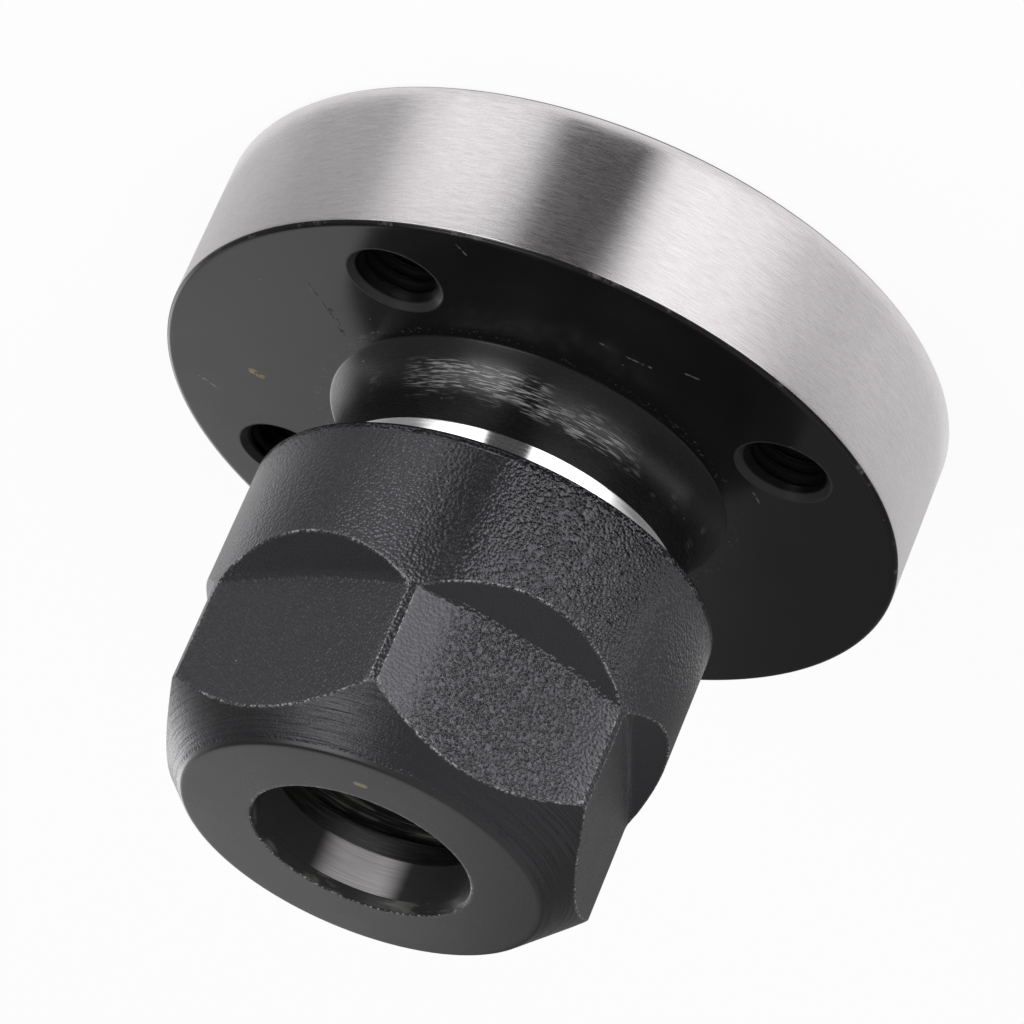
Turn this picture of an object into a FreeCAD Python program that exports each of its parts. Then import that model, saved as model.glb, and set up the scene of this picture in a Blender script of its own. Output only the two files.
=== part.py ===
import FreeCAD, Part

import math
import os

from FreeCAD import Vector

# A collet chuck that bolts by its round flange to a spindle nose: a turned body
# with a tapered socket and a threaded nose, and the hexagon clamping nut on it.
# Millimetres. The origin is the centre of the flange's back face, and +Z runs
# along the spindle axis to the nut.

# Flange
flange_diameter = 45.0
flange_thickness = 9.9
flange_front_chamfer = 0.3
flange_back_chamfer = 0.5
register_diameter = 25.0
register_depth = 2.5
register_chamfer = 0.3

# Tapped holes through the flange, M5
hole_count = 4
hole_circle_diameter = 34.5
hole_diameter = 4.2
hole_mouth_diameter = 5.7
first_hole_angle = 45.0

# Neck, which tapers a little at its bright ground end
neck_diameter = 22.0
neck_fillet_radius = 2.8
neck_fillet_sink = 0.5
collar_length = 1.6
collar_taper_angle = 10.0

# Threaded nose, M22 x 1.5
thread_diameter = 22.0
thread_pitch = 1.5
thread_clearance = 0.04
nose_height = 28.4
nose_chamfer = 1.0
undercut_diameter = 19.8

# Collet socket and the bore behind it
taper_half_angle = 8.0
taper_mouth_diameter = 16.0
taper_depth = 19.0
taper_mouth_chamfer = 0.3
bar_bore_diameter = 10.4

# Outside of the clamping nut
nut_diameter = 28.0
nut_face_diameter = 21.6
nut_front_chamfer = 3.5
nut_rear_chamfer = 0.25
flat_count = 6
across_flats = 24.4
flat_length = 10.25
first_flat_angle = 18.9
cutter_diameter = 100.0
cutter_flank_angle = 45.0

# Inside of the clamping nut, from its front face back
mouth_diameter = 12.4
mouth_chamfer = 0.4
mouth_land = 3.05
seat_half_angle = 30.0
seat_diameter = 14.6
lip_groove_diameter = 15.8
lip_groove_width = 0.9
extractor_diameter = 13.8
extractor_offset = 0.4
extractor_width = 1.2
collet_room_diameter = 17.8
collet_room_length = 0.7
nut_undercut_diameter = 22.3
nut_undercut_width = 1.6
nut_thread_length = 9.0
counterbore_diameter = 22.6
counterbore_depth = 1.2
counterbore_chamfer = 0.3

# How the nut stands on the nose
nose_gap = 0.6
collar_gap = 0.6
thread_lead = 0.2

# The pitch line lies three eighths of the thread triangle's height under the crest
thread_triangle_height = math.sqrt(3) / 2 * thread_pitch
thread_pitch_radius = thread_diameter / 2 - 3 / 8 * thread_triangle_height

# Heights up the axis that follow from these sizes
seat_length = (seat_diameter - mouth_diameter) / 2 / math.tan(math.radians(seat_half_angle))
nut_room_top = nose_height + nose_gap
extractor_bottom = nut_room_top + collet_room_length
extractor_top = extractor_bottom + extractor_width
seat_bottom = extractor_top + lip_groove_width
seat_top = seat_bottom + seat_length
nut_front = seat_top + mouth_land
nut_undercut_bottom = nut_room_top - nut_undercut_width
nut_thread_bottom = nut_undercut_bottom - nut_thread_length
nut_rear = nut_thread_bottom - counterbore_depth
flat_rear = nut_front - flat_length
thread_bottom = nut_thread_bottom - thread_lead
collar_top = nut_rear - collar_gap
collar_bottom = collar_top - collar_length


class Outline:
    """A closed outline in the plane of the axis, drawn from point to point."""

    def __init__(self, radius, height):
        self.start = self.here = Vector(radius, 0, height)
        self.edges = []

    def line(self, radius, height):
        there = Vector(radius, 0, height)
        self.edges.append(Part.makeLine(self.here, there))
        self.here = there

    def arc(self, radius, height, centre_radius, centre_height):
        """The short arc to a point about a centre."""
        there = Vector(radius, 0, height)
        centre = Vector(centre_radius, 0, centre_height)
        out = (self.here + there) / 2 - centre
        out.normalize()
        middle = centre + out * (there - centre).Length
        self.edges.append(Part.Arc(self.here, middle, there).toShape())
        self.here = there

    def turned(self):
        """The solid that the outline makes when it turns about the Z axis."""
        self.line(self.start.x, self.start.z)
        face = Part.Face(Part.Wire(self.edges))
        return face.revolve(Vector(0, 0, 0), Vector(0, 0, 1), 360)


def turned_body():
    """The body before its holes are drilled, turned inside and out."""
    flange_radius = flange_diameter / 2
    fillet_radius = neck_diameter / 2 + neck_fillet_radius
    fillet_height = flange_thickness + neck_fillet_radius - neck_fillet_sink
    fillet_reach = math.sqrt(neck_fillet_radius**2 - (fillet_height - flange_thickness) ** 2)
    collar_end_radius = neck_diameter / 2 - math.tan(math.radians(collar_taper_angle)) * collar_length
    undercut_radius = undercut_diameter / 2
    thread_radius = thread_pitch_radius - thread_clearance
    mouth_radius = taper_mouth_diameter / 2
    slope = math.tan(math.radians(taper_half_angle))
    taper_end = nose_height - taper_depth
    bar_bore_radius = bar_bore_diameter / 2
    register_radius = register_diameter / 2

    outline = Outline(register_radius + register_chamfer, 0)
    outline.line(flange_radius - flange_back_chamfer, 0)
    outline.line(flange_radius, flange_back_chamfer)
    outline.line(flange_radius, flange_thickness - flange_front_chamfer)
    outline.line(flange_radius - flange_front_chamfer, flange_thickness)
    # the fillet starts with a faint crease, where facing the flange stopped
    outline.line(fillet_radius - fillet_reach, flange_thickness)
    outline.arc(neck_diameter / 2, fillet_height, fillet_radius, fillet_height)
    outline.line(neck_diameter / 2, collar_bottom)
    outline.line(collar_end_radius, collar_top)
    outline.line(undercut_radius, collar_top)
    outline.line(undercut_radius, thread_bottom - (thread_radius - undercut_radius))
    outline.line(thread_radius, thread_bottom)
    outline.line(thread_radius, nose_height - nose_chamfer)
    outline.line(thread_radius - nose_chamfer, nose_height)
    outline.line(mouth_radius + taper_mouth_chamfer, nose_height)
    outline.line(mouth_radius - slope * taper_mouth_chamfer, nose_height - taper_mouth_chamfer)
    outline.line(mouth_radius - slope * taper_depth, taper_end)
    outline.line(bar_bore_radius, taper_end)
    outline.line(bar_bore_radius, register_depth)
    outline.line(register_radius, register_depth)
    outline.line(register_radius, register_chamfer)
    return outline.turned()


def flange_hole(number):
    """One tapped hole through the flange, countersunk at both faces."""
    radius = hole_diameter / 2
    mouth = hole_mouth_diameter / 2
    sink = mouth - radius
    # each countersink runs on past its face, at the same slope
    past = sink / 2
    outline = Outline(0, -past)
    outline.line(mouth + past, -past)
    outline.line(radius, sink)
    outline.line(radius, flange_thickness - sink)
    outline.line(mouth + past, flange_thickness + past)
    outline.line(0, flange_thickness + past)
    hole = outline.turned()
    hole.translate(Vector(hole_circle_diameter / 2, 0, 0))
    turn = first_hole_angle + 360.0 * number / hole_count
    hole.rotate(Vector(0, 0, 0), Vector(0, 0, 1), turn)
    return hole


def chuck_body():
    return turned_body().cut([flange_hole(number) for number in range(hole_count)])


def turned_nut():
    """The nut before its flats are milled, with a small round hole at the extractor lip."""
    mouth_radius = mouth_diameter / 2
    seat_radius = seat_diameter / 2
    groove_radius = lip_groove_diameter / 2
    pilot_hole = extractor_diameter / 2 - 2 * extractor_offset
    room_radius = collet_room_diameter / 2
    undercut_radius = nut_undercut_diameter / 2
    thread_radius = thread_pitch_radius + thread_clearance
    counterbore_radius = counterbore_diameter / 2
    outer_radius = nut_diameter / 2
    lead = counterbore_radius - thread_radius

    outline = Outline(mouth_radius, nut_front - mouth_chamfer)
    outline.line(mouth_radius + mouth_chamfer, nut_front)
    outline.line(nut_face_diameter / 2, nut_front)
    outline.line(outer_radius, nut_front - nut_front_chamfer)
    outline.line(outer_radius, nut_rear + nut_rear_chamfer)
    outline.line(outer_radius - nut_rear_chamfer, nut_rear)
    outline.line(counterbore_radius + counterbore_chamfer, nut_rear)
    outline.line(counterbore_radius, nut_rear + counterbore_chamfer)
    outline.line(counterbore_radius, nut_thread_bottom - lead)
    outline.line(thread_radius, nut_thread_bottom)
    outline.line(thread_radius, nut_undercut_bottom)
    outline.line(undercut_radius, nut_undercut_bottom)
    outline.line(undercut_radius, nut_room_top)
    outline.line(room_radius, nut_room_top)
    outline.line(room_radius, extractor_bottom)
    outline.line(pilot_hole, extractor_bottom)
    outline.line(pilot_hole, extractor_top)
    outline.line(groove_radius, extractor_top)
    outline.line(groove_radius, seat_bottom)
    outline.line(seat_radius, seat_bottom)
    outline.line(mouth_radius, seat_top)
    return outline.turned()


def extractor_hole():
    """The off-centre opening that leaves a lip to pull the collet out by its groove."""
    hole = Part.makeCylinder(extractor_diameter / 2, extractor_width)
    hole.translate(Vector(extractor_offset, 0, extractor_bottom))
    return hole


def flat_cutter(number):
    """The sweep of the large cutter that mills one flat and leaves a sloping wall behind it."""
    tip = cutter_diameter / 2
    # tall enough to pass the nut's cylinder
    height = nut_diameter - across_flats
    flank = height / math.tan(math.radians(cutter_flank_angle))
    outline = Outline(0, 0)
    outline.line(tip, 0)
    outline.line(tip + flank, height)
    outline.line(0, height)
    cutter = outline.turned()
    # its axis lies along the flat's outward direction, level with the nut's open end
    cutter.rotate(Vector(0, 0, 0), Vector(0, 1, 0), 90)
    cutter.translate(Vector(across_flats / 2, 0, flat_rear + tip))
    turn = first_flat_angle + 360.0 * number / flat_count
    cutter.rotate(Vector(0, 0, 0), Vector(0, 0, 1), turn)
    return cutter


def clamping_nut():
    cuts = [extractor_hole()]
    cuts += [flat_cutter(number) for number in range(flat_count)]
    return turned_nut().cut(cuts)


def save(node, shape):
    """Write one part as a STEP file, after a look that it is one sound solid."""
    solid = shape.Solids[0]
    box = solid.BoundBox
    print(
        f"{node}: {len(shape.Solids)} solid, valid {solid.isValid()}, "
        f"{solid.Volume / 1000:.3f} cm3, z {box.ZMin:.2f} to {box.ZMax:.2f}"
    )
    solid.exportStep(f"parts/{node}.step")


os.makedirs("parts", exist_ok=True)
save("chuck_body", chuck_body())
save("clamping_nut", clamping_nut())
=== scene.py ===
import math

import bmesh
import bpy
import numpy as np
from mathutils import Matrix, Vector


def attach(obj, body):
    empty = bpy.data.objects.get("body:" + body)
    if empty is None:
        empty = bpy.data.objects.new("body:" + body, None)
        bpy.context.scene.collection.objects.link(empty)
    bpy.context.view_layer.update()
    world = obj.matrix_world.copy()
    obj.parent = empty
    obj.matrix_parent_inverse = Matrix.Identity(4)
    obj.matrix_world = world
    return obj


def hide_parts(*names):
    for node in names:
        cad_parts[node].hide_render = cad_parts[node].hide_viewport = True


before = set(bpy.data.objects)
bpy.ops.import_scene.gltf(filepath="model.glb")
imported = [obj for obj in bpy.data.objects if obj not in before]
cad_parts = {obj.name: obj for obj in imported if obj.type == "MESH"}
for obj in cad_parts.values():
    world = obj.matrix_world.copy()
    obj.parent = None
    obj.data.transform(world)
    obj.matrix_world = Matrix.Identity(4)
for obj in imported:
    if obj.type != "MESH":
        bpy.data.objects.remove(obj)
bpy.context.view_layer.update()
print("frame loaded")


# Camera, solved from the circles of the nut and the flange

cameraPlan = {
    "place": (-0.032913, 0.301349, 0.174092),
    "lookAt": (0.000453, -0.001106, 0.012675),
    "imageUp": (-0.438378, 0.385063, -0.812128),  # the holder hangs nut down in the picture
    "lens": 209.645,
    "sensor": 36.0,
}


def placeCamera(plan):
    data = bpy.data.cameras.new("Camera")
    data.lens = plan["lens"]
    data.sensor_width = plan["sensor"]
    data.clip_start = 0.01
    data.clip_end = 10
    place = Vector(plan["place"])
    back = (place - Vector(plan["lookAt"])).normalized()
    up = Vector(plan["imageUp"])
    up = (up - back * up.dot(back)).normalized()
    right = up.cross(back)
    camera = bpy.data.objects.new("Camera", data)
    bpy.context.scene.collection.objects.link(camera)
    camera.matrix_world = Matrix.Translation(place) @ Matrix((right, up, back)).transposed().to_4x4()
    bpy.context.scene.camera = camera


placeCamera(cameraPlan)
bpy.context.scene.view_settings.view_transform = "Standard"
print("camera placed")


# Shader sums written as Python


class Val:  # one output socket, which adds its Math nodes when it is reckoned with
    def __init__(self, finish, socket):
        self.finish = finish
        self.socket = socket

    def __add__(self, other):
        return self.finish.maths("ADD", self, other)

    def __radd__(self, other):
        return self.finish.maths("ADD", other, self)

    def __sub__(self, other):
        return self.finish.maths("SUBTRACT", self, other)

    def __rsub__(self, other):
        return self.finish.maths("SUBTRACT", other, self)

    def __mul__(self, other):
        return self.finish.maths("MULTIPLY", self, other)

    def __rmul__(self, other):
        return self.finish.maths("MULTIPLY", other, self)

    def __truediv__(self, other):
        return self.finish.maths("DIVIDE", self, other)

    def __rtruediv__(self, other):
        return self.finish.maths("DIVIDE", other, self)

    def __pow__(self, other):
        return self.finish.maths("POWER", self, other)

    def between(self, low, high):  # 0 below low, 1 above high, smooth in between
        return self.finish.node(
            "ShaderNodeMapRange",
            {"interpolation_type": "SMOOTHSTEP"},
            {0: self, 1: low, 2: high},
        )

    def within(self, low, rise, fall, high):  # 1 from rise to fall, 0 outside low and high
        return self.between(low, rise) * (1 - self.between(fall, high))

    def clamped(self):
        return self.finish.node("ShaderNodeClamp", {}, {0: self})


class Finish:  # one node tree, with the one way in which its nodes are made
    def __init__(self, tree):
        self.tree = tree
        self.tree.nodes.clear()

    def node(self, kind, settings, values, out=0):
        made = self.tree.nodes.new(kind)
        for name, setting in settings.items():
            if name == "stops":
                ramp = made.color_ramp
                while len(ramp.elements) < len(setting):
                    ramp.elements.new(1)
                for element, (place, level) in zip(ramp.elements, setting):
                    element.position = place
                    element.color = grey(level)
            else:
                setattr(made, name, setting)
        for key, value in values.items():
            if isinstance(value, Val):
                self.tree.links.new(value.socket, made.inputs[key])
            else:
                made.inputs[key].default_value = value
        return Val(self, made.outputs[out]) if made.outputs else None

    def maths(self, operation, *values):
        return self.node("ShaderNodeMath", {"operation": operation}, dict(enumerate(values)))

    def coordinates(self):  # Object coordinates, in millimetres
        place = self.node("ShaderNodeTexCoord", {}, {}, "Object")
        return self.node("ShaderNodeVectorMath", {"operation": "SCALE"}, {0: place, "Scale": 1000.0})

    def split(self, vector):
        made = self.node("ShaderNodeSeparateXYZ", {}, {0: vector})
        return [Val(self, output) for output in made.socket.node.outputs]

    def joined(self, x, y, z):
        return self.node("ShaderNodeCombineXYZ", {}, {0: x, 1: y, 2: z})

    def noise(self, vector, scale, detail=2.0, roughness=0.5):
        return self.node(
            "ShaderNodeTexNoise",
            {},
            {"Vector": vector, "Scale": scale, "Detail": detail, "Roughness": roughness},
        )

    def attribute(self, name):
        return self.node("ShaderNodeAttribute", {"attribute_name": name}, {}, "Fac")

    def mixed(self, factor, first, second):
        return self.node("ShaderNodeMix", {"data_type": "RGBA"}, {0: factor, 6: first, 7: second}, 2)

    def bump(self, height, distance):
        return self.node("ShaderNodeBump", {}, {"Height": height, "Distance": distance})

    def seen(self):  # 1 to the camera and in mirrored or bent rays, 0 to diffuse light
        rays = self.node("ShaderNodeLightPath", {}, {}).socket.node.outputs
        kinds = ("Is Camera Ray", "Is Glossy Ray", "Is Transmission Ray")
        camera, mirrored, bent = (Val(self, rays[kind]) for kind in kinds)
        return camera + mirrored + bent

    def surface(self, kind, values):
        shader = self.node(kind, {}, values)
        self.node("ShaderNodeOutputMaterial", {}, {"Surface": shader})


def grey(level, blue=1.0):
    return (level, level, level * blue, 1.0)


def length(x, y):  # of the vector (x, y)
    return (x * x + y * y) ** 0.5


def towards(x, y, way):
    # cosine of the angle round the axis between a point and a direction
    return (x * way[0] + y * way[1]) / length(x, y)


def newMaterial(name):
    material = bpy.data.materials.new(name)
    material.use_nodes = True
    return material, Finish(material.node_tree)


# Room: floor, world, lamps, and a light tent that only reflections see

roomPlan = {
    "floorSize": 3.0,
    "floorDrop": 0.00002,
    "floorColour": 0.9,
    "floorGlow": 0.93,  # share of the floor that shows as plain white
    "worldLight": 0.3,
    "tentRadius": 0.13,
    "tentInner": 0.0235,  # the tent's floor card starts just outside the flange
    "tentLift": 0.00008,
    "tentRows": (12, 40),  # rows of the tent's mesh along the floor and up the wall
    "tentStep": 2.0,  # degrees between its columns
    "facing": 96.23,  # azimuth from which the holder is looked at, in degrees
    "flange": 22.5,  # radius of the flange in mm
    "lamps": (
        # name, azimuth, elevation, distance, size, watts
        ("keyLamp", 75, 42, 0.55, 0.35, 1.2),
        ("fillLamp", 150, 40, 0.55, 0.35, 0.8),
        ("backLamp", -110, 55, 0.60, 0.40, 0.7),
    ),
    # The tent in zones from the flange outwards and up, each with its brightness by azimuth from
    # +X in degrees. A zone starts between its two distances in mm along the floor and up the wall.
    "zones": (
        ("rimCard", (0, 1), (
            (-180, 0.68), (10, 0.72), (50, 0.76), (60, 0.70), (70, 0.78), (78, 1.18), (88, 1.31),
            (93, 1.18), (98, 0.08), (109, 0.14), (114, 0.85), (118, 1.06), (127, 1.14), (132, 0.87),
            (137, 0.51), (152, 0.49), (165, 0.63), (180, 0.68),
        )),
        ("nutCard", (40, 44), (
            (-180, 0.27), (-155, 0.55), (-139, 1.0), (-110, 0.5), (-53, 0.20), (-18, 0.20),
            (14, 0.22), (50, 0.14), (59, 0.90), (86, 1.25), (96, 0.52), (102, 0.02), (117, 0.03),
            (129, 0.28), (141, 0.37), (162, 0.26), (180, 0.26),
        )),
        ("skirt", (84, 90), (
            (-180, 0.12), (-165, 0.14), (-145, 0.4), (-120, 0.5), (-90, 0.1), (-4, 0.1), (2, 0.4),
            (42, 0.5), (51, 1), (95, 1), (98, 0.03), (121, 0.03), (124, 1), (158, 1), (163, 0.3),
            (174, 0.15), (180, 0.12),
        )),
        ("softBoxes", (138, 146), (
            (-180, 0.05), (-140, 0.08), (-125, 0.6), (-112, 0.85), (-96, 0.7), (-88, 0.05), (42, 0.02),
            (54, 0.10), (99, 0.2), (102, 0.01), (116, 0.01), (120, 0.8), (138, 0.9), (152, 0.08),
            (180, 0.05),
        )),
        ("cloth", (178, 190), (
            (-180, 0.2), (-150, 0.15), (-125, 0.5), (-98, 0.80), (-93, 0.73), (-88, 0.68), (-82, 0.64),
            (-77, 0.24), (-74, 0.13), (-68, 0.10), (-40, 0.10), (0, 0.15), (180, 0.2),
        )),
        ("ceiling", (214, 222), (
            (-180, 0.12), (-142, 0.05), (-60, 0.2), (-5, 0.27), (40, 0.24), (106, 0.16),
            (150, 0.14), (180, 0.12),
        )),
    ),
    "levels": {"skirt": 2.2, "softBoxes": 3.2},  # factors on the brightness of these zones
    "ceilingPatch": (146, 58, 6, 17, 1.2),  # azimuth, elevation, inner and outer size, brightness
}


def spot(azimuth, elevation, distance):
    a, e = math.radians(azimuth), math.radians(elevation)
    return Vector((math.cos(a) * math.cos(e), math.sin(a) * math.cos(e), math.sin(e))) * distance


def lightRoom(plan):
    scene = bpy.context.scene
    for name, azimuth, elevation, distance, size, watts in plan["lamps"]:
        data = bpy.data.lights.new(name, "AREA")
        data.shape = "DISK"
        data.size = size
        data.energy = watts
        lamp = bpy.data.objects.new(name, data)
        lamp.location = spot(azimuth, elevation, distance)
        lamp.rotation_euler = lamp.location.to_track_quat("Z", "Y").to_euler()
        lamp.visible_glossy = False  # the tent stands for the lamps in reflections
        lamp.visible_camera = False
        scene.collection.objects.link(lamp)

    world = bpy.data.worlds.new("World")
    world.use_nodes = True
    scene.world = world
    finish = Finish(world.node_tree)
    plain = finish.node("ShaderNodeBackground", {}, {"Strength": plan["worldLight"]})
    white = finish.node("ShaderNodeBackground", {}, {"Strength": 1.0})
    for shade in (plain, white):
        shade.socket.node.inputs["Color"].default_value = grey(1.0)
    mixed = finish.node("ShaderNodeMixShader", {}, {0: finish.seen(), 1: plain, 2: white})
    finish.node("ShaderNodeOutputWorld", {}, {"Surface": mixed})
    world.cycles.sampling_method = "NONE"  # so that its light can't pass the tent in reflections

    half = plan["floorSize"]
    mesh = bpy.data.meshes.new("floor")
    corners = [(-half, -half), (half, -half), (half, half), (-half, half)]
    mesh.from_pydata([(x, y, -plan["floorDrop"]) for x, y in corners], [], [(0, 1, 2, 3)])
    floor = bpy.data.objects.new("floor", mesh)
    scene.collection.objects.link(floor)
    material, finish = newMaterial("paperFloor")
    paper = finish.node("ShaderNodeBsdfDiffuse", {}, {"Color": grey(plan["floorColour"])})
    white = finish.node("ShaderNodeEmission", {}, {"Color": grey(1.0), "Strength": 1.0})
    glow = finish.seen() * plan["floorGlow"]
    mixed = finish.node("ShaderNodeMixShader", {}, {0: glow, 1: paper, 2: white})
    finish.node("ShaderNodeOutputMaterial", {}, {"Surface": mixed})
    material.cycles.emission_sampling = "NONE"
    mesh.materials.append(material)


def gridFaces(rows, columns, closedRows=False):
    # quads between neighbouring rows and columns of a grid, numbered row by row; the columns
    # always close into a ring
    row = np.arange(rows if closedRows else rows - 1)[:, None]
    column = np.arange(columns)[None, :]
    nextRow = (row + 1) % rows
    nextColumn = (column + 1) % columns
    corners = (
        row * columns + column,
        row * columns + nextColumn,
        nextRow * columns + nextColumn,
        nextRow * columns + column,
    )
    return np.stack(np.broadcast_arrays(*corners), axis=-1).reshape(-1, 4)


def turned(profile, angles):
    # the profile's radius and height carried round the axis: x = r cos a, y = r sin a, z = h
    radius, height = profile[:, 0, None], profile[:, 1, None]
    rings = (radius * np.cos(angles), radius * np.sin(angles), height + 0 * angles)
    return np.stack(rings, axis=-1)


def buildTent(plan):
    # profile: along the floor from the flange's edge, then a quarter circle to the top
    radius, lift = plan["tentRadius"], plan["tentLift"]
    floorRows, wallRows = plan["tentRows"]
    climb = np.radians(np.linspace(0, 89.5, wallRows))
    along = np.linspace(plan["tentInner"], radius, floorRows)[:-1]
    profile = np.concatenate([
        np.stack([along, np.full_like(along, lift)], axis=-1),
        np.stack([radius * np.cos(climb), lift + radius * np.sin(climb)], axis=-1),
    ])
    angles = np.radians(np.arange(0, 360, plan["tentStep"]))
    grid = turned(profile, angles)
    mesh = bpy.data.meshes.new("lightTent")
    faces = gridFaces(len(profile), len(angles))
    mesh.from_pydata(grid.reshape(-1, 3).tolist(), [], faces.tolist())
    tent = bpy.data.objects.new("lightTent", mesh)
    bpy.context.scene.collection.objects.link(tent)
    material, finish = newMaterial("tentCloth")
    place = finish.coordinates()
    x, y, z = finish.split(place)
    azimuth = finish.maths("ARCTAN2", y, x) * (180 / math.pi)
    outwards = length(x, y)
    onWall = z.between(0.2, 2.0)
    run = outwards * (1 - onWall) + (z + radius * 1000) * onWall

    def around(angle, levels):
        brightest = max(level for _, level in levels)
        stops = [((a + 180) / 360, level / brightest) for a, level in levels]
        ramp = finish.node("ShaderNodeValToRGB", {"stops": stops}, {0: angle * (1 / 360) + 0.5})
        return finish.node("ShaderNodeSeparateColor", {}, {0: ramp}) * brightest

    # the rim mirrors its card along lines that fan out from it, so the card's bands fan out too
    facing, flange = plan["facing"], plan["flange"]
    aside = finish.maths("WRAP", azimuth - facing, 180.0, -180.0)
    fan = 2 - flange / finish.maths("MAXIMUM", outwards, flange)
    fanned = aside / fan + facing
    strength = 0.0
    for name, (low, high), levels in plan["zones"]:
        light = around(fanned if name == "rimCard" else azimuth, levels)
        light = light * plan["levels"].get(name, 1.0)
        share = run.between(low, high)
        strength = strength * (1 - share) + light * share
    patchAzimuth, patchHeight, inside, outside, level = plan["ceilingPatch"]
    centre = spot(patchAzimuth, patchHeight, 1.0)
    nearness = (x * centre.x + y * centre.y + z * centre.z) * (0.001 / radius)
    nearest, farthest = math.cos(math.radians(inside)), math.cos(math.radians(outside))
    strength = strength + nearness.between(farthest, nearest) * level
    finish.surface("ShaderNodeEmission", {"Color": grey(1.0), "Strength": strength})
    mesh.materials.append(material)
    material.cycles.emission_sampling = "NONE"  # it shows only where a reflection meets it
    tent.visible_camera = False
    tent.visible_diffuse = False
    tent.visible_transmission = False
    tent.visible_shadow = False


lightRoom(roomPlan)
buildTent(roomPlan)
print("room lit")


# Outlines and threads that both pieces share


def roundedOutline(corners, steps):
    # corners are (radius, height, rounding): each corner becomes an arc that touches both of
    # its runs, with one more point just beyond each end of the arc to keep the runs flat
    points = np.array([corner[:2] for corner in corners], float)
    outline = []
    for number, (_, _, rounding) in enumerate(corners):
        here = points[number]
        if number in (0, len(points) - 1):
            outline.append(here)
            continue
        runs = [points[number - 1] - here, points[number + 1] - here]
        lengths = [np.hypot(*run) for run in runs]
        ways = [run / size for run, size in zip(runs, lengths)]
        half = 0.5 * math.acos(np.clip(ways[0] @ ways[1], -1, 1))
        touch = rounding / math.tan(half)
        middle = ways[0] + ways[1]
        centre = here + middle / np.hypot(*middle) * rounding / math.sin(half)
        spokes = [here + way * touch - centre for way in ways]
        sweep = math.pi - 2 * half
        share = np.linspace(0, 1, steps + 1)[:, None]
        arc = np.sin((1 - share) * sweep) * spokes[0] + np.sin(share * sweep) * spokes[1]
        arc = centre + arc / math.sin(sweep)
        beyond = [min(0.7 * rounding, 0.3 * size) for size in lengths]
        outline.append(here + ways[0] * (touch + beyond[0]))
        outline.extend(arc)
        outline.append(here + ways[1] * (touch + beyond[1]))
    return np.array(outline)


def threadRadius(angle, height, pitch, pitchRadius):
    # right-hand V thread: from the middle of its groove the radius climbs along the axis at 60
    # degrees to it, and passes the pitch line a quarter of the pitch away
    phase = height / pitch - angle / (2 * math.pi)
    fromGroove = np.abs((phase + 0.5) % 1.0 - 0.5) * pitch
    return pitchRadius + (fromGroove - pitch / 4) * math.sqrt(3)


def addPiece(name, sheets, materials, body, node, layers=()):
    # each sheet has its points in mm on a grid, whether its rows close, its material number or
    # one number for each row, and its layer values; sheets join where their edges meet
    points, faces, numbers, start = [], [], [], 0
    values = {layer: [] for layer in layers}
    for sheet in sheets:
        grid = sheet["grid"]
        rows, columns = grid.shape[:2]
        quads = gridFaces(rows, columns, sheet.get("closedRows", False))
        number = np.broadcast_to(np.asarray(sheet.get("material", 0)).reshape(-1, 1), (rows, 1))
        number = np.broadcast_to(number, (rows, columns)).reshape(-1)
        points.append(grid.reshape(-1, 3))
        faces.append(quads + start)
        numbers.append(number[quads[:, 0]])
        for layer in layers:
            layerValues = np.broadcast_to(sheet.get(layer, 0.0), (rows, columns))
            values[layer].append(layerValues.reshape(-1))
        start += rows * columns
    points = np.concatenate(points) * 0.001
    faces = np.concatenate(faces)
    mesh = bpy.data.meshes.new(name)
    mesh.vertices.add(len(points))
    mesh.vertices.foreach_set("co", points.astype(np.float32).ravel())
    mesh.loops.add(faces.size)
    mesh.loops.foreach_set("vertex_index", faces.astype(np.int32).ravel())
    mesh.polygons.add(len(faces))
    mesh.polygons.foreach_set("loop_start", np.arange(0, faces.size, 4, dtype=np.int32))
    mesh.polygons.foreach_set("material_index", np.concatenate(numbers).astype(np.int32))
    mesh.update(calc_edges=True)
    for layer in layers:
        made = mesh.attributes.new(layer, "FLOAT", "POINT")
        made.data.foreach_set("value", np.concatenate(values[layer]).astype(np.float32))
    work = bmesh.new()
    work.from_mesh(mesh)
    bmesh.ops.remove_doubles(work, verts=work.verts, dist=2e-7)
    bmesh.ops.recalc_face_normals(work, faces=work.faces)
    work.to_mesh(mesh)
    openEdges = sum(edge.is_boundary for edge in work.edges)
    work.free()
    mesh.polygons.foreach_set("use_smooth", np.ones(len(mesh.polygons), bool))
    for material in materials:
        mesh.materials.append(material)
    piece = bpy.data.objects.new(name, mesh)
    bpy.context.scene.collection.objects.link(piece)
    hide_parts(node)
    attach(piece, body)
    triangles = sum(len(polygon.vertices) - 2 for polygon in mesh.polygons)
    print(f"{name}: {triangles} triangles, {openEdges} open edges")
    return piece


# Chuck body, in millimetres

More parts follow.
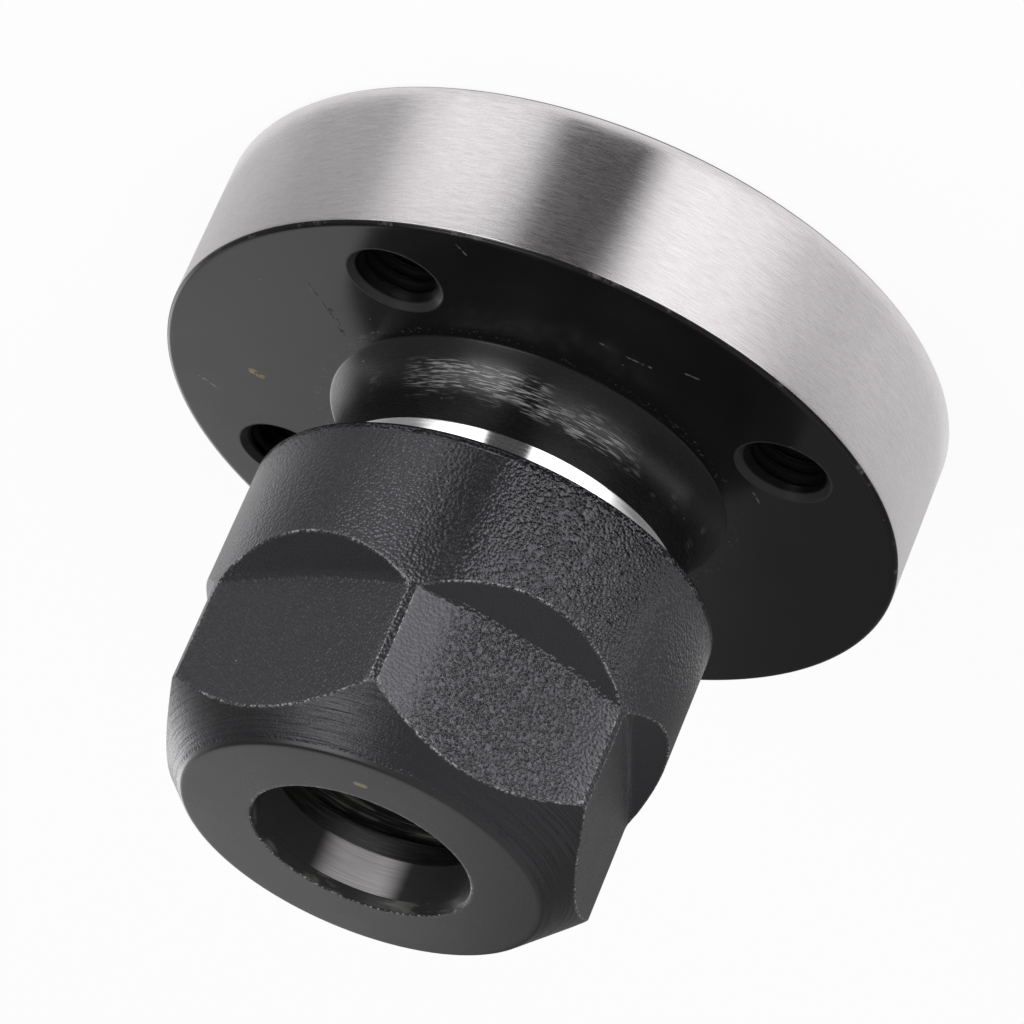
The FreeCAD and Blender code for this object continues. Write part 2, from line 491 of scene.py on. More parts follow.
bodyPlan = {
    "columns": 192,
    "flangeRadius": 22.5,
    "flangeThickness": 9.9,
    "frontRounding": 0.3,
    "backRounding": 0.5,
    "faceBorders": (12.24, 22.0),  # radii between which the front face holds its drilled holes
    "backBorders": (13.0, 21.7),
    "holeCircle": 17.25,
    "holeRadius": 2.1,
    "holeMouth": 2.85,
    "holeAngle": 45.0,
    "screwPitch": 0.8,
    "screwPitchRadius": 2.24,
    "screwRoot": 2.5,
    "filletRadius": 5.0,
    "filletCentre": (16.0, 13.15),
    "neckRadius": 11.0,
    "collar": (14.8, 16.4),
    "collarEnd": 10.718,
    "undercutRadius": 9.9,
    "thread": (18.2, 27.4),
    "threadPitch": 1.5,
    "threadPitchRadius": 10.5129,
    "threadClearance": 0.04,
    "threadRoot": 10.08,
    "noseHeight": 28.4,
    "noseChamfer": 1.0,
    "taperMouth": 8.0,
    "taperEnd": (5.33, 9.4),
    "barBore": 5.2,
    "register": (12.5, 2.5),
}


# numbers of the chuck body's finishes, in the order in which it gets them
bodyBlack, rimGround, collarBright, socketBored, holeBlack, neckBlack = range(6)


def drilledQuadrant(number, plan, borders, height, mouth, way=None, sideSteps=12, rows=6):
    # a quarter of a flat ring with a hole in it: each point of the quarter's border is joined
    # to the hole's edge by a run that is straight in radius and angle
    inner, outer = borders
    quarter = plan["columns"] // 4
    start = math.radians(90.0 * number)
    side = np.linspace(inner, outer, sideSteps + 1)
    arc = np.linspace(0, math.pi / 2, quarter + 1)
    radius = [side[:-1], np.full(quarter, outer), side[::-1][:-1], np.full(quarter, inner)]
    radius = np.concatenate(radius)
    angle = [np.zeros(sideSteps), arc[:-1], np.full(sideSteps, math.pi / 2), arc[::-1][:-1]]
    angle = np.concatenate(angle)
    holeAngle = math.radians(plan["holeAngle"])
    if way is None:
        way = np.arctan2(plan["holeCircle"] * (angle - holeAngle), radius - plan["holeCircle"])
    edgeX = plan["holeCircle"] + mouth * np.cos(way)
    edgeY = mouth * np.sin(way)
    edgeRadius = np.hypot(edgeX, edgeY)
    edgeAngle = holeAngle + np.arctan2(edgeY, edgeX)
    share = np.concatenate([[0, 0.04, 0.12], np.linspace(0.25, 1, rows)])[:, None]
    gridRadius = edgeRadius + (radius - edgeRadius) * share
    gridAngle = start + edgeAngle + (angle - edgeAngle) * share
    x, y = gridRadius * np.cos(gridAngle), gridRadius * np.sin(gridAngle)
    return np.stack([x, y, height + 0 * x], axis=-1), way


def tappedWall(number, plan, way):
    # the wall of one tapped hole: whichever is wider of the countersink and the thread
    top, mouth, radius = plan["flangeThickness"], plan["holeMouth"], plan["holeRadius"]
    sink = mouth - radius
    # the mouth's rounded edge, which comes again upside down at the back
    edge = roundedOutline([(mouth + 0.1, top, 0), (mouth, top, 0.06), (mouth - 0.3, top - 0.3, 0)], 3)
    run = np.arange(top - 0.38, sink - 0.1, -0.1)
    run = np.concatenate([run, edge[::-1][1:, 1] * -1 + top])
    heights = np.concatenate([edge[:, 1], run])
    cone = np.maximum(radius, radius + np.abs(heights - top / 2) - (top / 2 - sink))
    rim = np.concatenate([edge[:, 0], np.zeros(len(run) - len(edge) + 1), edge[::-1][1:, 0]])
    angle = way[None, :]
    level = heights[:, None]
    thread = threadRadius(angle, level, plan["screwPitch"], plan["screwPitchRadius"])
    thread = np.clip(thread, radius, plan["screwRoot"])
    wide = np.maximum(thread, cone[:, None])
    wide = np.where(rim[:, None] > 0, rim[:, None], wide)
    turn = math.radians(plan["holeAngle"] + 90.0 * number)
    along = plan["holeCircle"] + wide * np.cos(angle)
    across = wide * np.sin(angle)
    x = along * math.cos(turn) - across * math.sin(turn)
    y = along * math.sin(turn) + across * math.cos(turn)
    return np.stack([x, y, level + 0 * wide], axis=-1)


def noseRows(plan):
    # the threaded nose: the thread, cut down to its stand-in's radius so that it turns freely,
    # under a 45 degree lead at each end
    low, high = plan["thread"]
    crest = plan["threadPitchRadius"] - plan["threadClearance"]
    start = low - (crest - plan["undercutRadius"])
    heights = np.concatenate([
        [start - 0.1], np.arange(start, low, 0.12), np.arange(low, high, plan["threadPitch"] / 10),
        np.linspace(high, plan["noseHeight"] - 0.06, 9),
    ])
    lead = np.minimum(plan["undercutRadius"] + np.maximum(heights - start, 0), crest)
    lead = np.minimum(lead, crest + high - heights)
    return heights, lead, crest


def buildBody(plan, finishes):
    angles = np.linspace(0, 2 * math.pi, plan["columns"], endpoint=False)
    top, outer = plan["flangeThickness"], plan["flangeRadius"]
    faceIn, faceOut = plan["faceBorders"]
    backIn, backOut = plan["backBorders"]
    sheets = []

    rim = roundedOutline([
        (faceOut, top, 0), (outer, top, plan["frontRounding"]), (outer, 0, plan["backRounding"]),
        (backOut, 0, 0),
    ], 6)
    ground = (rim[:, 0] > outer - 0.02) & (rim[:, 1] > 0.05)
    wear = np.exp(-(((rim[:, 1] - top + 0.12) / 0.12) ** 2)) * (rim[:, 0] > faceOut + 0.3)
    sheets.append({
        "grid": turned(rim, angles), "wear": wear[:, None],
        "material": np.where(ground, rimGround, bodyBlack),
    })

    holeEdge = plan["holeMouth"] + 0.1
    for number in range(4):
        grid, way = drilledQuadrant(number, plan, plan["faceBorders"], top, holeEdge)
        wear = np.zeros((len(grid), 1))
        wear[0] = 0.6
        sheets.append({"grid": grid, "wear": wear})
        back, _ = drilledQuadrant(number, plan, plan["backBorders"], 0.0, holeEdge, way)
        sheets.append({"grid": back})
        sheets.append({"grid": tappedWall(number, plan, way), "material": holeBlack})

    centreR, centreZ = plan["filletCentre"]
    fillet = plan["filletRadius"]
    foot = math.asin((centreZ - top) / fillet)
    sweep = math.pi + np.linspace(foot, 0, 24)
    arc = np.stack([centreR + fillet * np.cos(sweep), centreZ + fillet * np.sin(sweep)], axis=-1)
    low, high = plan["collar"]
    collarEnd, under = plan["collarEnd"], plan["undercutRadius"]
    heights, lead, crest = noseRows(plan)
    neck = roundedOutline([
        (plan["neckRadius"], centreZ, 0), (plan["neckRadius"], low, 0.08), (collarEnd, high, 0.08),
        (under, high, 0.1), (under, heights[0], 0),
    ], 3)
    start = np.array([[faceIn, top]])
    lower = np.concatenate([start, arc, neck[1:-1]])
    shiny = (lower[:, 1] > low - 0.01) & (lower[:, 1] < high - 0.04)
    onNeck = (lower[:, 1] <= low - 0.01) & (lower[:, 0] < faceIn - 0.02)
    material = np.select([shiny, onNeck], [collarBright, neckBlack], bodyBlack)
    sheets.append({
        "grid": turned(np.concatenate([lower, neck[-1:]]), angles),
        "material": np.append(material, bodyBlack),
    })

    thread = threadRadius(angles, heights[:, None], plan["threadPitch"], plan["threadPitchRadius"])
    thread = np.clip(thread - plan["threadClearance"], plan["threadRoot"], crest)
    thread = np.minimum(thread, lead[:, None])
    thread[0] = under
    nose = np.stack(
        [thread * np.cos(angles), thread * np.sin(angles), heights[:, None] + 0 * thread], axis=-1
    )
    sheets.append({"grid": nose})

    noseTop = plan["noseHeight"]
    mouth = plan["taperMouth"]
    endR, endZ = plan["taperEnd"]
    slope = (mouth - endR) / (noseTop - endZ)
    bore, (registerR, registerZ) = plan["barBore"], plan["register"]
    edge = crest - plan["noseChamfer"]
    inside = roundedOutline([
        (thread[-1, 0], heights[-1], 0), (edge, noseTop, 0.04), (mouth + 0.3, noseTop, 0.08),
        (mouth - slope * 0.3, noseTop - 0.3, 0.08), (endR, endZ, 0.04), (bore, endZ - 0.13, 0.04),
        (bore, registerZ, 0.05), (registerR, registerZ, 0.08), (registerR, 0.3, 0.06),
        (registerR + 0.3, 0, 0.06), (backIn, 0, 0),
    ], 3)
    ring = turned(inside, angles)
    ring[0] = nose[-1]
    tapered = (inside[:, 1] < noseTop - 0.3) & (inside[:, 1] > endZ)
    sheets.append({"grid": ring, "material": np.where(tapered, socketBored, bodyBlack)})
    return addPiece("chuckBody", sheets, finishes, "chuck", "chuck_body", ("wear",))


# Clamping nut, in millimetres

nutPlan = {
    "rear": 17.2,
    "front": 36.755,
    "radius": 14.0,
    "faceRadius": 10.8,
    "coneStart": 33.255,
    "coneStop": 0.45,  # how far below the face the outside's rows end
    "rearRounding": 0.25,
    "faceRounding": 0.35,
    "flats": 6,
    "flatAngle": 18.9,
    "flatDistance": 12.2,
    "flatRear": 26.505,
    "cutterRadius": 50.0,
    "edgeSoftness": 0.035,
    "cornerFillet": 0.3,
    "cornerWear": 0.05,  # how far a spanner has worn the corners between the flats
    "mouthRadius": 6.2,
    "mouthBevel": (0.38, 0.6),
    "seatTop": 33.705,
    "seatRadius": 7.3,
    "seatBottom": 31.8,
    "grooveRadius": 7.9,
    "lipTop": 30.9,
    "lipBottom": 29.7,
    "lipRadius": 6.9,
    "lipOffset": 0.4,
    "roomRadius": 8.9,
    "roomTop": 29.0,
    "reliefRadius": 11.15,
    "reliefBottom": 27.4,
    "threadPitch": 1.5,
    "threadPitchRadius": 10.5129,
    "threadClearance": 0.04,
    "threadRoot": 11.04,
    "threadRear": 18.4,
    "counterboreRadius": 11.3,
}


# numbers of the nut's finishes, in the order in which it gets them
nutBlack, faceBlack, landBright, insideTurned = range(4)


def softMin(first, second, softness):
    # the smaller of two values, rounded off where they come within softness of each other
    share = np.clip(0.5 + 0.5 * (second - first) / softness, 0, 1)
    return second + (first - second) * share - softness * share * (1 - share)


def coneSlope(plan):
    # how fast the cone's radius shrinks with height
    return (plan["radius"] - plan["faceRadius"]) / (plan["front"] - plan["coneStart"])


def nutColumns(plan):
    # angles gathered at the sides of the flats, where the flats meet the round
    sector = 180.0 / plan["flats"]
    worn = math.degrees(math.acos(plan["flatDistance"] / (plan["radius"] - plan["cornerWear"])))
    fine = np.linspace(worn - 0.25, sector - 0.12, 11)
    inner = np.linspace(0, fine[0], 21)[:-1]
    upper = np.append(np.concatenate([inner, fine]), sector)
    both = np.concatenate([-upper[::-1][:-1], upper[:-1]])
    turns = plan["flatAngle"] + 2 * sector * np.arange(plan["flats"])
    offset = np.tile(both, plan["flats"])
    return np.radians(np.repeat(turns, len(both)) + offset), np.radians(offset)


def nutOutside(plan, offset):
    # radius of the outside over offset angle and height: the round, the front cone and the
    # flats with their sloping rear walls, whichever is the least
    top, distance, cutter = plan["radius"], plan["flatDistance"], plan["cutterRadius"]
    centre = plan["flatRear"] + cutter
    coneRun = coneSlope(plan)
    half = math.acos(distance / top)
    inFlat = np.clip(offset, -half, half)
    across = distance * np.tan(inFlat)
    flatLine = centre - np.sqrt(cutter**2 - across**2)
    reach = cutter + top * np.cos(inFlat) - distance
    wallLine = centre - np.sqrt(reach**2 - (top * np.sin(inFlat)) ** 2)
    coneLine = plan["coneStart"] + (top - distance / np.cos(inFlat)) / coneRun

    rear = plan["rear"]
    fixed = np.concatenate([
        [rear + 0.35, rear + 0.6, rear + 1.4], np.linspace(rear + 2.4, plan["flatRear"] - 2.2, 6),
    ])
    fixed = fixed[:, None] + 0 * offset
    edge = np.array([-0.35, -0.2, -0.12, -0.06, 0, 0.06, 0.12, 0.2, 0.35])[:, None]
    corner = np.array([-0.32, -0.24, -0.16, -0.08, 0, 0.08, 0.16, 0.24, 0.32])[:, None]
    wallRows = wallLine + np.linspace(0, 1, 8)[1:-1, None] * (flatLine - wallLine)
    flatRows = flatLine + 0.4 + np.linspace(0, 1, 12)[1:-1, None] * (coneLine - flatLine - 0.8)
    coneEnd = plan["front"] - plan["coneStop"]
    coneRows = coneLine + 0.3 + np.linspace(0, 1, 10)[1:, None] * (coneEnd - coneLine - 0.3)
    heights = np.concatenate([
        fixed, wallLine + edge, wallRows, flatLine + corner, flatRows, coneLine + edge, coneRows,
    ])
    heights = np.sort(heights, axis=0)

    cone = top - (heights - plan["coneStart"]) * coneRun
    flat = distance / np.cos(offset) + 0 * heights
    wall = flat
    for _ in range(6):  # the wall's radius depends on its own distance from the cutter's axis
        away = np.hypot(wall * np.sin(offset), centre - heights)
        wall = (distance + away - cutter) / np.cos(offset)
    milled = -softMin(-flat, -wall, plan["cornerFillet"])
    climb = np.clip((heights - plan["flatRear"] + 0.2) / 0.6, 0, 1)
    lathed = softMin(top - plan["cornerWear"] * climb, cone, plan["edgeSoftness"])
    radius = softMin(lathed, milled, plan["edgeSoftness"])
    # the worn line is kept as narrow between two flats, where the surfaces part slowly
    between = (heights > plan["flatRear"] + 0.3) & (heights < coneLine - 0.3)
    near = np.exp(-(((lathed - milled) / np.where(between, 0.022, 0.05)) ** 2))
    corner = np.exp(-(((flat - wall) / 0.15) ** 2)) * (lathed > milled)
    isMilled = (milled < lathed - 0.02).astype(float)
    isCone = ((cone < top - 0.03 - plan["cornerWear"]) & (milled > lathed + 0.02)).astype(float)
    return heights, radius, near, corner, isMilled, isCone


def buildNut(plan, finishes):
    angles, offset = nutColumns(plan)
    heights, outer, near, corner, isMilled, isCone = nutOutside(plan, offset)
    outside = np.stack([outer * np.cos(angles), outer * np.sin(angles), heights], axis=-1)

    # front face and the mouth, from the cone's last row inwards
    front, rear = plan["front"], plan["rear"]
    mouth, (bevelOut, bevelDown) = plan["mouthRadius"], plan["mouthBevel"]
    coneFoot = (plan["faceRadius"] + plan["coneStop"] * coneSlope(plan), front - plan["coneStop"], 0)
    clear = plan["threadPitchRadius"] + plan["threadClearance"]
    bore = plan["counterboreRadius"]
    face = roundedOutline([
        coneFoot, (plan["faceRadius"], front, plan["faceRounding"]),
        (mouth + bevelOut, front, 0.2), (mouth, front - bevelDown, 0.2),
        (mouth, plan["seatTop"], 0.06), (plan["seatRadius"], plan["seatBottom"], 0.04),
        (plan["grooveRadius"], plan["seatBottom"], 0.1), (plan["grooveRadius"], plan["lipTop"], 0.1),
        (plan["lipRadius"], plan["lipTop"], 0.08), (plan["lipRadius"], plan["lipBottom"], 0.15),
        (plan["roomRadius"], plan["lipBottom"], 0.1), (plan["roomRadius"], plan["roomTop"], 0.1),
        (plan["reliefRadius"], plan["roomTop"], 0.1),
        (plan["reliefRadius"], plan["reliefBottom"] + 0.05, 0.1), (clear + 0.3, plan["reliefBottom"], 0),
    ], 5)
    eccentric = plan["lipOffset"] * np.cos(angles)
    eccentric = eccentric + np.sqrt(plan["lipRadius"] ** 2 - (plan["lipOffset"] * np.sin(angles)) ** 2)
    eccentric = eccentric - plan["lipRadius"]
    isLip = (face[:, 0] < plan["lipRadius"] + 0.35) & (face[:, 1] < plan["lipTop"] + 0.01)
    isLip &= face[:, 1] > plan["lipBottom"] - 0.01
    faceRadius = face[:, 0, None] + isLip[:, None] * eccentric

    # the thread, cut from its stand-in's bore, and the counterbore behind it
    pitch = plan["threadPitch"]
    lead = plan["threadRear"] - (bore - clear)
    levels = np.concatenate([
        [plan["reliefBottom"] - 0.05],
        np.arange(plan["reliefBottom"] - 0.15, plan["threadRear"], -pitch / 8),
        np.linspace(plan["threadRear"], lead + 0.05, 6),
    ])[:, None]
    thread = threadRadius(angles, levels, pitch, plan["threadPitchRadius"]) + plan["threadClearance"]
    thread = np.clip(thread, clear, plan["threadRoot"])
    thread = np.maximum(thread, bore - np.maximum(levels - lead, 0))
    back = roundedOutline([
        (bore, lead, 0), (bore, rear + 0.3, 0.05), (bore + 0.3, rear, 0.08),
        (plan["radius"], rear, plan["rearRounding"]), (plan["radius"], rear + 0.35, 0),
    ], 4)[:-1]
    radii = np.concatenate([faceRadius[:-1], thread, back[:, 0, None] + 0 * angles])
    levels = np.concatenate([face[:-1, 1, None], levels, back[:, 1, None]]) + 0 * angles
    inside = np.stack([radii * np.cos(angles), radii * np.sin(angles), levels], axis=-1)[1:]

    rows = len(outside)
    radius, level = radii[1:, 0], levels[1:, 0]
    isFace = (level > front - 0.3) & (radius > mouth + bevelOut)
    isLand = (level <= front - bevelDown) & (radius < mouth + 0.02)
    isDeep = (radius < bore + 0.2) & (level > rear + 0.1)
    material = np.select([isFace, isLand, isDeep], [faceBlack, landBright, insideTurned], nutBlack)

    def layer(values):
        full = np.zeros((rows + len(inside), len(angles)))
        full[:rows] = values
        return full

    sheet = {
        "grid": np.concatenate([outside, inside]), "closedRows": True,
        "material": np.concatenate([np.full(rows, nutBlack), material]), "wear": layer(near),
        "corner": layer(corner), "milled": layer(isMilled), "cone": layer(isCone),
    }
    mouthLine = np.exp(-(((radius - mouth - bevelOut) / 0.1) ** 2)) * (level > front - 0.2)
    sheet["wear"][rows:] = mouthLine[:, None]
    return addPiece(
        "clampingNut", [sheet], finishes, "nut", "clamping_nut",
        ("wear", "corner", "milled", "cone"),
    )


# Finishes


def turningMarks(finish, place, spread, fine, detail=3.0):
    # fine rings from the lathe: noise that changes slowly round the axis and fast across it
    x, y, z = finish.split(place)
    across = (length(x, y) - z) * fine
    return finish.noise(finish.joined(x * spread, y * spread, across), 1.0, detail)


def mark(finish, x, y, start, end, width):
    # 1 on a short straight mark, 0 a width away from it
    runX, runY = end[0] - start[0], end[1] - start[1]
    square = runX * runX + runY * runY
    along = ((x - start[0]) * (runX / square) + (y - start[1]) * (runY / square)).clamped()
    away = length(x - start[0] - along * runX, y - start[1] - along * runY)
    return 1 - away.between(width * 0.4, width)


def specks(finish, place, scale, size, share):
    # a dot in a share of the cells of a Voronoi pattern
    away = finish.node("ShaderNodeTexVoronoi", {}, {"Vector": place, "Scale": scale})
    colour = Val(finish, away.socket.node.outputs["Color"])
    chosen = finish.node("ShaderNodeSeparateColor", {}, {0: colour}).between(1 - share, 1.001 - share)
    return (1 - away.between(size * 0.5, size)) * chosen


rimPlan = {"dark": (0.61, 0.585, 0.592, 1), "bright": (0.755, 0.725, 0.735, 1), "roughness": 0.28}


def groundRim(plan):
    material, finish = newMaterial("groundRim")
    place = finish.coordinates()
    grain = turningMarks(finish, place, 0.9, 20.0, 4.0).between(0.3, 0.7)
    cloud = finish.noise(place, 0.25, 2.0)
    pores = 1 - specks(finish, place, 1.1, 0.05, 0.10) * 0.5
    finish.surface("ShaderNodeBsdfPrincipled", {
        "Base Color": finish.mixed(grain * pores, plan["dark"], plan["bright"]),
        "Metallic": 1.0,
        "Roughness": plan["roughness"] + (grain - 0.5) * 0.08 + (cloud - 0.5) * 0.06,
        "Anisotropic": 0.75,
        "Anisotropic Rotation": 0.25,
        "Normal": finish.bump(grain, 0.0000012),
    })
    return material


collarPlan = {"colour": (0.90, 0.89, 0.90, 1), "roughness": 0.10}


def polishedCollar(plan):
    material, finish = newMaterial("polishedCollar")
    place = finish.coordinates()
    grain = turningMarks(finish, place, 0.3, 9.0).between(0.35, 0.65)
    finish.surface("ShaderNodeBsdfPrincipled", {
        "Base Color": finish.mixed(grain, grey(0.84), plan["colour"]),
        "Metallic": 1.0,
        "Roughness": plan["roughness"] + (grain - 0.5) * 0.04,
    })
    return material


oxidePlan = {
    "colour": grey(0.0075, 1.03),
    "worn": grey(0.14),
    "roughness": 0.16,
    "scratches": (  # start, end, width, in mm on the flange's face
        ((-10.4, 18.8), (-9.6, 18.25), 0.07), ((-0.75, 16.1), (0.4, 16.1), 0.08),
        ((0.9, 16.0), (2.5, 16.15), 0.10), ((4.3, 17.25), (5.1, 17.35), 0.08),
        ((-18.9, -8.2), (-17.6, -8.6), 0.10), ((11.6, 8.6), (12.3, 7.8), 0.07),
    ),
    "scuffs": (((-16.3, 7.6), (-14.2, 5.4), 0.10), ((-14.4, 5.9), (-13.0, 4.0), 0.22)),
    "rustSpeck": ((-16.4, -4.8), (-15.8, -4.85), 0.34),
    "rustColour": (0.27, 0.19, 0.07, 1),
    "crumbs": (12.3, 13.3),  # radii between which the fillet's foot is rough
    "face": (9.8, 9.88, 9.92, 10.0),  # heights round the flange's face, where its marks show
}


def blackOxide(plan):
    material, finish = newMaterial("blackOxide")
    place = finish.coordinates()
    x, y, z = finish.split(place)
    cloud = finish.noise(place, 0.35, 3.0)
    fine = finish.noise(place, 7.0, 2.0)
    breaks = finish.noise(place, 2.6, 4.0, 0.7).between(0.45, 0.58)
    onFace = z.within(*plan["face"])
    light = sum(mark(finish, x, y, *one) for one in plan["scratches"]) * breaks * onFace
    scuff = sum(mark(finish, x, y, *one) for one in plan["scuffs"]) * breaks * onFace
    dots = specks(finish, place, 0.75, 0.05, 0.22)
    near, far = plan["crumbs"]
    crumbs = length(x, y).within(near, near + 0.3, near + 0.5, far) * onFace
    crumbs = crumbs * finish.noise(place, 4.5, 4.0, 0.75).between(0.60, 0.66)
    wear = finish.attribute("wear") * finish.noise(place, 0.55, 5.0, 0.75).between(0.56, 0.66)
    rust = mark(finish, x, y, *plan["rustSpeck"]) * finish.noise(place, 3.5, 3.0).between(0.40, 0.52)
    rust = rust * onFace
    bare = (light + dots * 0.8 + wear * 0.5 + crumbs * 0.7).clamped()
    colour = finish.mixed(bare, plan["colour"], plan["worn"])
    colour = finish.mixed(rust, colour, plan["rustColour"])
    roughness = plan["roughness"] + (cloud - 0.5) * 0.12 + scuff * 0.4 + bare * 0.3 + rust * 0.4
    height = fine * 0.25 + scuff * 0.8 + crumbs * 3.0
    finish.surface("ShaderNodeBsdfPrincipled", {
        "Base Color": colour,
        "Roughness": roughness,
        "Normal": finish.bump(height, 0.000004),
    })
    return material


neckPlan = {
    "colour": oxidePlan["colour"],
    "worn": grey(0.55),
    "roughness": 0.27,
    "band": (10.9, 11.5, 13.0, 13.5),  # heights between which the neck is lightly rubbed all round
    # patches where a tool has rubbed it, lighter and more metallic and placed where the highlights fall,
    # so partly wear and partly a painted highlight: azimuth, half width, lowest and highest
    "rubAndPaintedHighlight": ((120, 26, 10.8, 12.8), (86, 22, 11.6, 13.3)),
}


def neckOxide(plan):
    material, finish = newMaterial("neckOxide")
    place = finish.coordinates()
    x, y, z = finish.split(place)
    rings = turningMarks(finish, place, 1.1, 14.0, 4.0)
    strokes = turningMarks(finish, place, 0.9, 12.0, 3.0).between(0.50, 0.61)
    band = z.within(*plan["band"])
    # the light band all round is wear; the patches added to it are rubbed strokes and partly a painted
    # highlight
    rubAndPaintedHighlight = band * finish.noise(place, 0.6, 2.0).between(0.50, 0.66) * 0.3
    for azimuth, width, low, high in plan["rubAndPaintedHighlight"]:
        near = towards(x, y, spot(azimuth, 0, 1))
        edge, full = math.cos(math.radians(width)), math.cos(math.radians(width * 0.5))
        rubAndPaintedHighlight = rubAndPaintedHighlight + near.between(edge, full) * z.within(low, low + 0.5, high - 0.5, high)
    strokesAndPaintedHighlight = (strokes * rubAndPaintedHighlight).clamped()
    dots = specks(finish, place, 0.9, 0.06, 0.25)
    finish.surface("ShaderNodeBsdfPrincipled", {
        # the lighter colour in the patches is partly a painted highlight
        "Base Color": finish.mixed(strokesAndPaintedHighlight * 0.7 + dots * 0.6, plan["colour"], plan["worn"]),
        "Metallic": strokesAndPaintedHighlight * 0.6,
        "Roughness": plan["roughness"] + (rings - 0.5) * 0.12 + strokesAndPaintedHighlight * 0.2,
        "Anisotropic": 0.6,
        "Anisotropic Rotation": 0.25,
        "IOR": 1.62,
        "Normal": finish.bump(rings * band + strokesAndPaintedHighlight * 0.8, 0.000004),
    })
    return material


holePlan = {
    "dark": grey(0.002),
    "light": grey(0.005),
    "ring": grey(0.04),  # the countersink's front edge
    "ringHeights": (9.5, 9.62),
    "mouths": ((0.6, 1.2), (8.7, 9.3)),  # heights at which the two smooth countersinks begin
    "roughness": 0.55,
}


def holeOxide(plan):
    material, finish = newMaterial("holeOxide")
    place = finish.coordinates()
    grain = finish.noise(place, 5.0, 2.0)
    z = finish.split(place)[2]
    lower, upper = plan["mouths"]
    mouth = z.between(*upper) + (1 - z.between(*lower))
    ring = z.between(*plan["ringHeights"]) * 0.7
    colour = finish.mixed(grain, plan["dark"], plan["light"])
    finish.surface("ShaderNodeBsdfPrincipled", {
        "Base Color": finish.mixed(ring, colour, plan["ring"]),
        "Roughness": plan["roughness"] - mouth * 0.25 + (grain - 0.5) * 0.1,
        "IOR": 1.22,
        "Normal": finish.bump(grain, 0.000004),
    })
    return material


def boredSteel():
    material, finish = newMaterial("boredSteel")
    place = finish.coordinates()
    grain = turningMarks(finish, place, 0.3, 8.0).between(0.3, 0.7)
    finish.surface("ShaderNodeBsdfPrincipled", {
        "Base Color": finish.mixed(grain, grey(0.30), grey(0.42)),
        "Metallic": 1.0,
        "Roughness": 0.34 + (grain - 0.5) * 0.1,
        "Normal": finish.bump(grain, 0.000003),
    })
    return material


nutFinish = {
    "colour": (0.0125, 0.012, 0.0145, 1),
    "cone": (0.011, 0.011, 0.0115, 1),
    "spark": (0.65, 0.64, 0.62, 1),
    "roughness": 0.27,
    "tint": (0.95, 0.93, 1.0, 1),
    "pebble": 5.0,  # bumps to the millimetre
    "pebbleHeight": 0.000075,
    "coarse": (0.242, 0.970),  # the direction in which the blasting is coarsest
    "wallTop": 26.5,  # height at which the milled walls end and the flats begin
}


def nutOxide(plan):
    material, finish = newMaterial("nutOxide")
    place = finish.coordinates()
    wear = finish.attribute("wear")
    cone = finish.attribute("cone")
    corner = finish.attribute("corner")
    domes = finish.node(
        "ShaderNodeTexVoronoi",
        {"feature": "SMOOTH_F1"},
        {"Vector": place, "Scale": plan["pebble"], "Smoothness": 0.5},
    )
    pebbles = 1 - domes * (0.7 + finish.noise(place, 3.0, 2.0) * 0.6)
    fine = finish.noise(place, 11.0, 2.0)
    rings = turningMarks(finish, place, 0.15, 3.0, 3.0)
    cloud = finish.noise(place, 0.22, 2.0)
    sparkle = wear * finish.noise(place, 5.5, 3.0, 0.7).between(0.48, 0.58)
    sparkle = sparkle * (0.35 + 0.65 * finish.noise(place, 0.5, 2.0).between(0.40, 0.58))
    dots = specks(finish, place, 0.9, 0.045, 0.12)
    bare = (sparkle + dots * 0.6).clamped()
    colour = finish.mixed(cone, plan["colour"], plan["cone"])
    colour = finish.mixed(corner * 0.5, colour, grey(0.012))
    colour = finish.mixed(bare * 0.8, colour, plan["spark"])
    x, y, z = finish.split(place)
    strong = towards(x, y, plan["coarse"]).between(0.89, 0.97)
    strong = strong * (0.8 + 0.4 * finish.noise(place, 0.16, 2.0))
    isWall = finish.attribute("milled") * (1 - z.between(plan["wallTop"] - 0.1, plan["wallTop"] + 0.1))
    height = pebbles * (0.4 + strong) * (1 - cone * 0.8) * (1 - isWall * 0.8)
    height = height + (rings * 1.2 + fine * 0.2) * cone
    finish.surface("ShaderNodeBsdfPrincipled", {
        "Base Color": colour,
        "Metallic": bare * 0.3,
        "Roughness": plan["roughness"] + (cloud - 0.5) * 0.10 + (fine - 0.5) * 0.06 + bare * 0.2,
        "IOR": 1.95,
        "Specular Tint": plan["tint"],
        "Normal": finish.bump(height, plan["pebbleHeight"]),
    })
    return material


facePlan = {
    "colour": (0.013, 0.013, 0.0135, 1),
    "roughness": 0.28,
    "pit": ((-7.75, -0.2), (-7.5, 0.05), 0.16),
    "rustSpeck": ((-2.5, 7.85), (-2.1, 7.95), 0.28),
    "rustColour": (0.16, 0.14, 0.08, 1),
    "worn": grey(0.5),
    "face": (36.6, 36.7),  # heights between which the marks begin
}


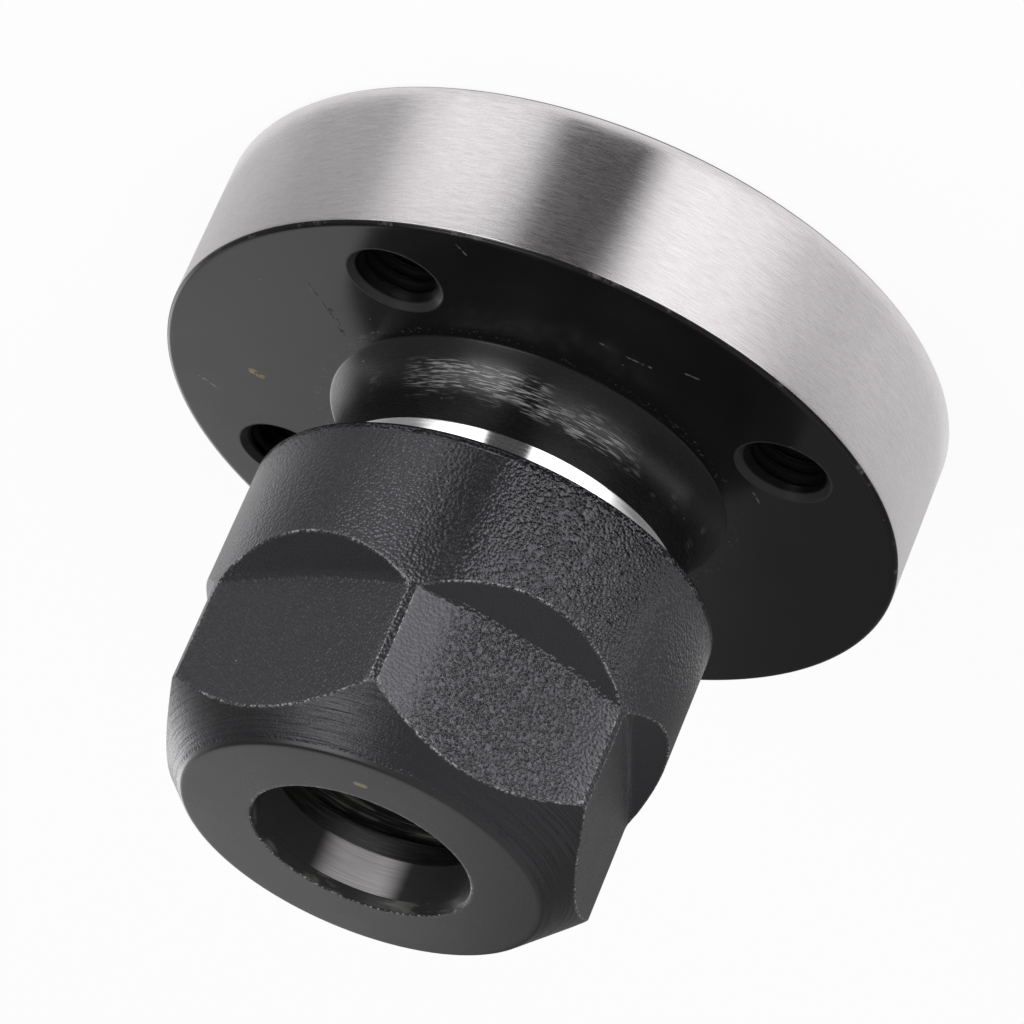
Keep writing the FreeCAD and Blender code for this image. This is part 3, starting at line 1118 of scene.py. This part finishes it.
def faceOxide(plan):
    material, finish = newMaterial("faceOxide")
    place = finish.coordinates()
    x, y, z = finish.split(place)
    fine = finish.noise(place, 8.0, 3.0)
    rings = turningMarks(finish, place, 0.3, 6.0, 3.0)
    cloud = finish.noise(place, 0.3, 2.0)
    onFace = z.between(*plan["face"])
    rust = mark(finish, x, y, *plan["rustSpeck"]) * onFace
    pit = mark(finish, x, y, *plan["pit"]) * onFace
    line = finish.attribute("wear") * finish.noise(place, 5.0, 3.0, 0.7).between(0.50, 0.62)
    dots = specks(finish, place, 0.9, 0.05, 0.15)
    bare = (line + dots * 0.5).clamped()
    colour = finish.mixed(bare * 0.7, plan["colour"], plan["worn"])
    colour = finish.mixed(rust, colour, plan["rustColour"])
    colour = finish.mixed(pit * 0.8, colour, grey(0.006))
    finish.surface("ShaderNodeBsdfPrincipled", {
        "Base Color": colour,
        "Metallic": bare * 0.2,
        "Roughness": plan["roughness"] + (cloud - 0.5) * 0.08 + (fine - 0.5) * 0.03,
        "IOR": 1.9,
        "Normal": finish.bump(rings, 0.0000025),
    })
    return material


mouthPlan = {
    "paintedHighlightSide": (0.174, -0.985),  # the direction of the land's painted highlight, on which side its colour is made bright
    # dull is the land's own colour, bright the colour of its painted highlight
    "dull": (0.07, 0.066, 0.067, 1),
    "bright": (0.98, 0.94, 0.95, 1),
    "roughness": 0.66,
}


def mouthSteel(plan):
    material, finish = newMaterial("mouthSteel")
    place = finish.coordinates()
    grain = turningMarks(finish, place, 0.3, 10.0, 4.0).between(0.3, 0.7)
    x, y, z = finish.split(place)
    # painted highlight: the land is coloured bright over a narrow span round the axis, where it shows a
    # reflection
    rubAndPaintedHighlight = towards(x, y, plan["paintedHighlightSide"]).between(0.89, 0.995)
    colour = finish.mixed(rubAndPaintedHighlight, plan["dull"], plan["bright"])
    finish.surface("ShaderNodeBsdfPrincipled", {
        "Base Color": finish.mixed(grain * 0.25, colour, grey(0.05)),
        "Metallic": 0.6,
        "Roughness": plan["roughness"] + (grain - 0.5) * 0.1,
        "Anisotropic": 0.8,
        "Anisotropic Rotation": 0.25,
    })
    return material


def turnedInside():
    material, finish = newMaterial("turnedInside")
    place = finish.coordinates()
    rings = turningMarks(finish, place, 0.4, 6.0, 4.0)
    scratch = rings.between(0.52, 0.66)
    finish.surface("ShaderNodeBsdfPrincipled", {
        "Base Color": finish.mixed(scratch, grey(0.012), (0.10, 0.098, 0.092, 1)),
        "Metallic": scratch * 0.5,
        "Roughness": 0.32 + (rings - 0.5) * 0.2,
        "Normal": finish.bump(rings, 0.000006),
    })
    return material


bodyFinishes = [
    blackOxide(oxidePlan), groundRim(rimPlan), polishedCollar(collarPlan), boredSteel(),
    holeOxide(holePlan), neckOxide(neckPlan),
]
nutFinishes = [nutOxide(nutFinish), faceOxide(facePlan), mouthSteel(mouthPlan), turnedInside()]
print("finishes made")

buildBody(bodyPlan, bodyFinishes)
buildNut(nutPlan, nutFinishes)
